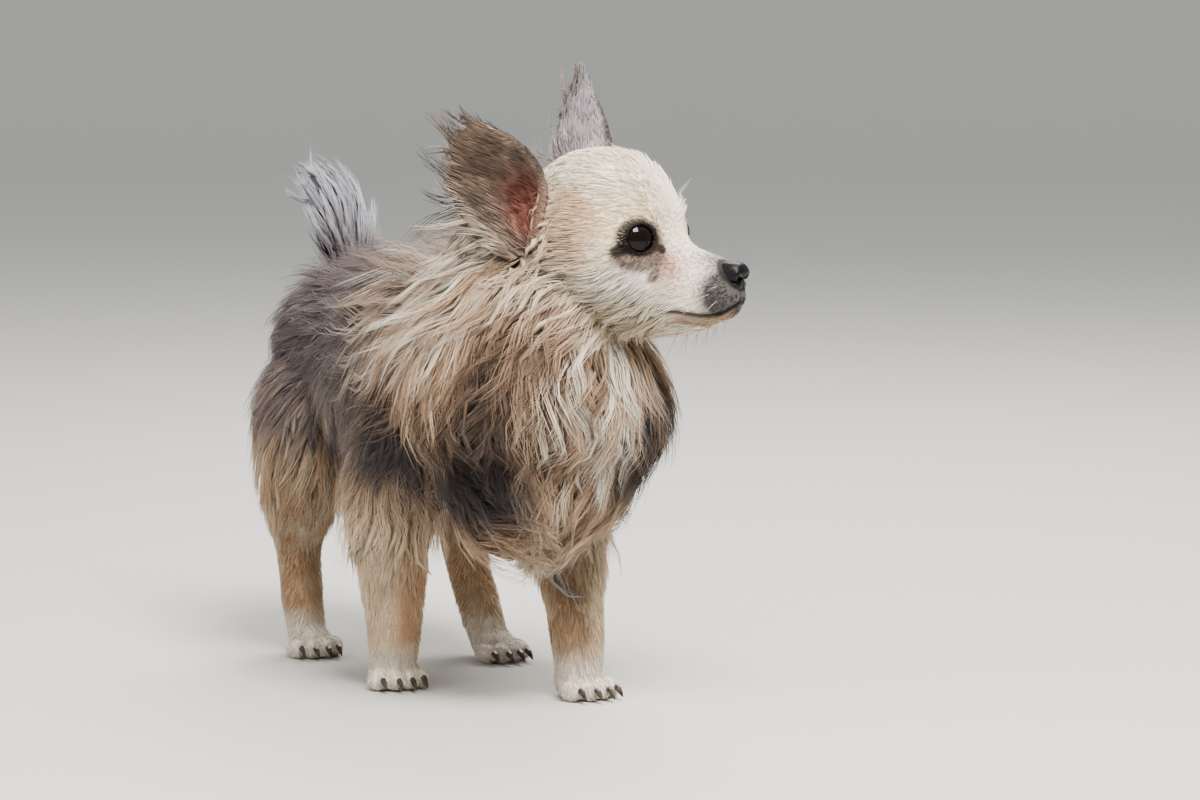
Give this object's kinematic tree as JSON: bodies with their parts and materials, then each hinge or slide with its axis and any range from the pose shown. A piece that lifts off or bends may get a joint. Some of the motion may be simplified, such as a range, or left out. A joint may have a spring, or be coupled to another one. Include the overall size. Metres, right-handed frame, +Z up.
{
  "type": "long-haired chihuahua figure",
  "caption": "Still life-size long-haired dog standing on four feet, head turned to its left, ears up, full ruff and raised plumed tail.",
  "frame": {"origin": "on the floor, under the middle of the whole dog's bounding box", "axes": "+Z up, the body looks along -Y, +X is the dog's left"},
  "size_m": [0.1612, 0.3274, 0.3128],
  "materials": {
    "coat_cream": "matte",
    "coat_ruff": "matte",
    "coat_grey": "matte",
    "coat_leg": "matte",
    "coat_ear": "matte",
    "coat_tail": "matte",
    "nose_leather": "satin",
    "eye": "gloss",
    "claw": "satin"
  },
  "bodies": {
    "root": {"head": "coat_cream", "nose": "nose_leather", "eye_right": "eye", "eye_left": "eye", "ear_right": "coat_ear", "ear_left": "coat_ear", "neck": "coat_ruff", "torso": "coat_grey", "tail": "coat_tail", "foreleg_right": "coat_leg", "foreleg_left": "coat_leg", "hindleg_right": "coat_leg", "hindleg_left": "coat_leg", "claw_fore_right_1": "claw", "claw_fore_right_2": "claw", "claw_fore_right_3": "claw", "claw_fore_right_4": "claw", "claw_fore_left_1": "claw", "claw_fore_left_2": "claw", "claw_fore_left_3": "claw", "claw_fore_left_4": "claw", "claw_hind_right_1": "claw", "claw_hind_right_2": "claw", "claw_hind_right_3": "claw", "claw_hind_right_4": "claw", "claw_hind_left_1": "claw", "claw_hind_left_2": "claw", "claw_hind_left_3": "claw", "claw_hind_left_4": "claw"}
  },
  "joints": []
}
